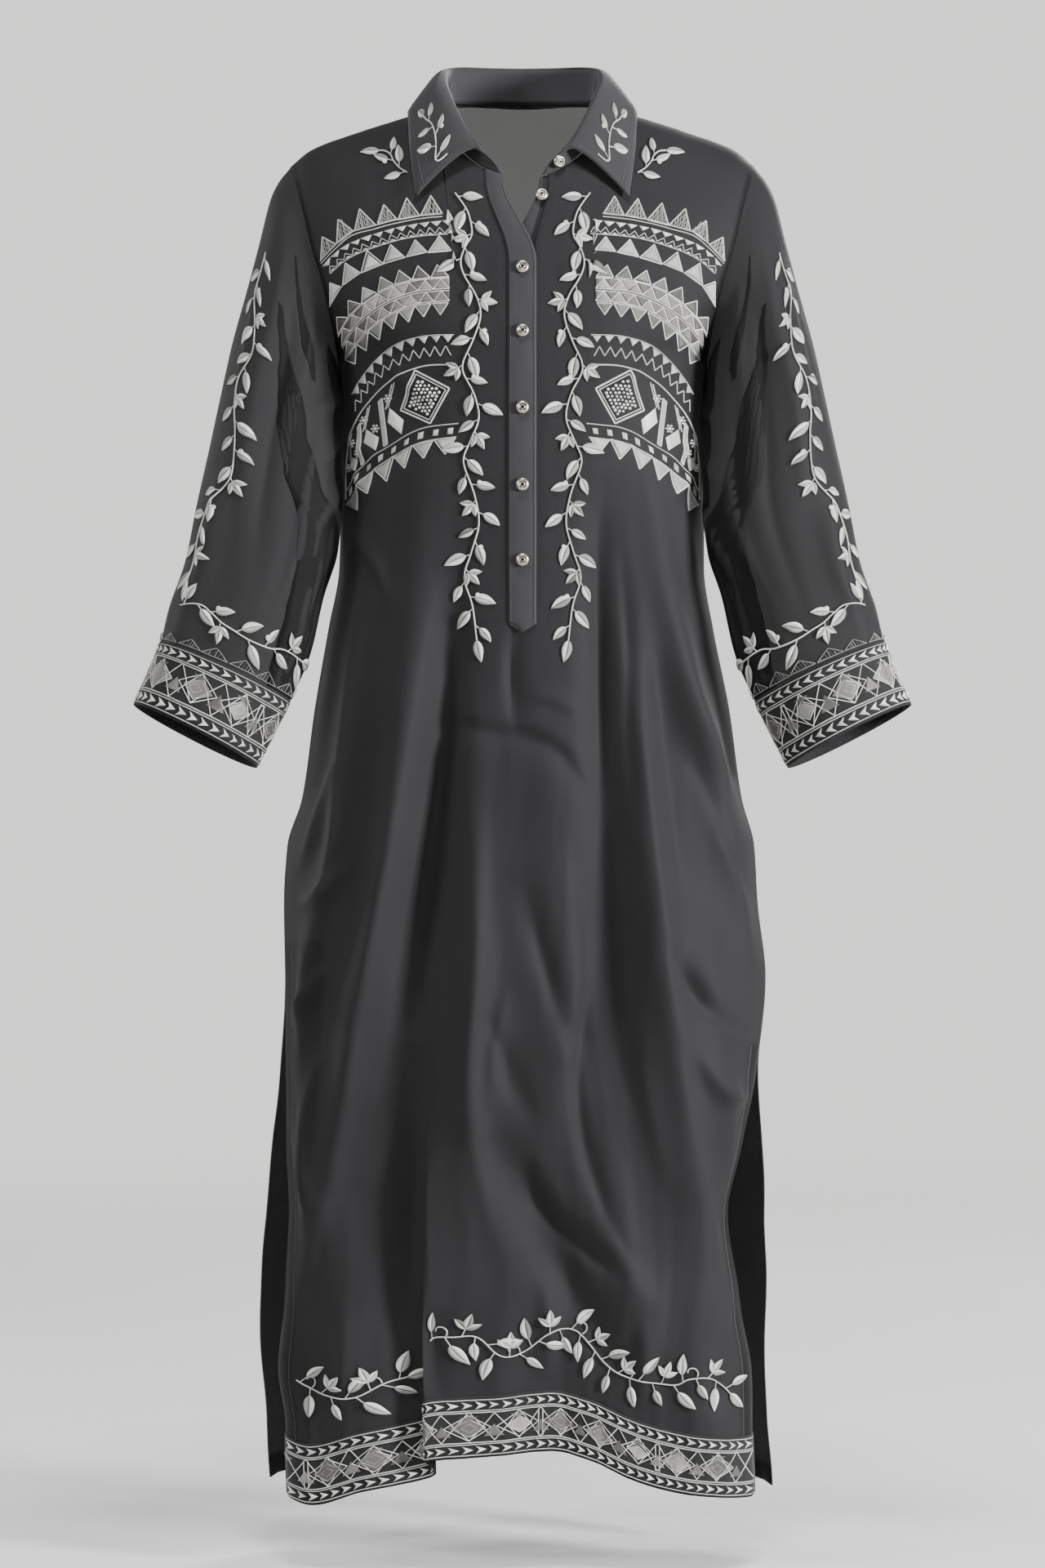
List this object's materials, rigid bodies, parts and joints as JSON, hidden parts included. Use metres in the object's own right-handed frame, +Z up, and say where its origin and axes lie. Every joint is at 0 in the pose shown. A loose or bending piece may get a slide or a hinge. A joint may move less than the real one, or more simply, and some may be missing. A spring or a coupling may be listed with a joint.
{
  "type": "kurta tunic",
  "caption": "Long sheer charcoal kurta tunic, filled out as if worn: shirt collar, half placket, side slits, cuffed sleeves and silver vine embroidery.",
  "frame": {"origin": "between the shoulders, level with the neck points and on the plane of the side seams, where the wearer's shoulders hold the garment", "axes": "+Z up, the front faces -Y, +X to the wearer's left"},
  "size_m": [0.6702, 0.2692, 1.255],
  "materials": {
    "georgette": "semi-sheer crinkled georgette, soft sheen",
    "border_cloth": "lined georgette border, matte",
    "collar_cloth": "interfaced double georgette, matte",
    "metal_thread": "silver metal-wrapped embroidery thread, satin",
    "button_metal": "antiqued nickel-silver, worn"
  },
  "bodies": {
    "root": {"back": "georgette", "button_1": "button_metal", "button_2": "button_metal", "button_3": "button_metal", "button_4": "button_metal", "button_5": "button_metal", "button_6": "button_metal", "button_7": "button_metal", "collar_leaf": "collar_cloth", "collar_stand": "collar_cloth", "cuff_band_left": "border_cloth", "cuff_band_right": "border_cloth", "front": "georgette", "hem_band": "border_cloth", "placket_over": "collar_cloth", "placket_under": "collar_cloth", "sleeve_left": "georgette", "sleeve_right": "georgette", "vine_chest_left": "metal_thread", "vine_chest_right": "metal_thread", "vine_collar_left": "metal_thread", "vine_collar_right": "metal_thread", "vine_cuff_left": "metal_thread", "vine_cuff_right": "metal_thread", "vine_hem_left": "metal_thread", "vine_hem_right": "metal_thread", "vine_shoulder_left": "metal_thread", "vine_shoulder_right": "metal_thread", "vine_sleeve_left": "metal_thread", "vine_sleeve_right": "metal_thread"}
  },
  "joints": []
}
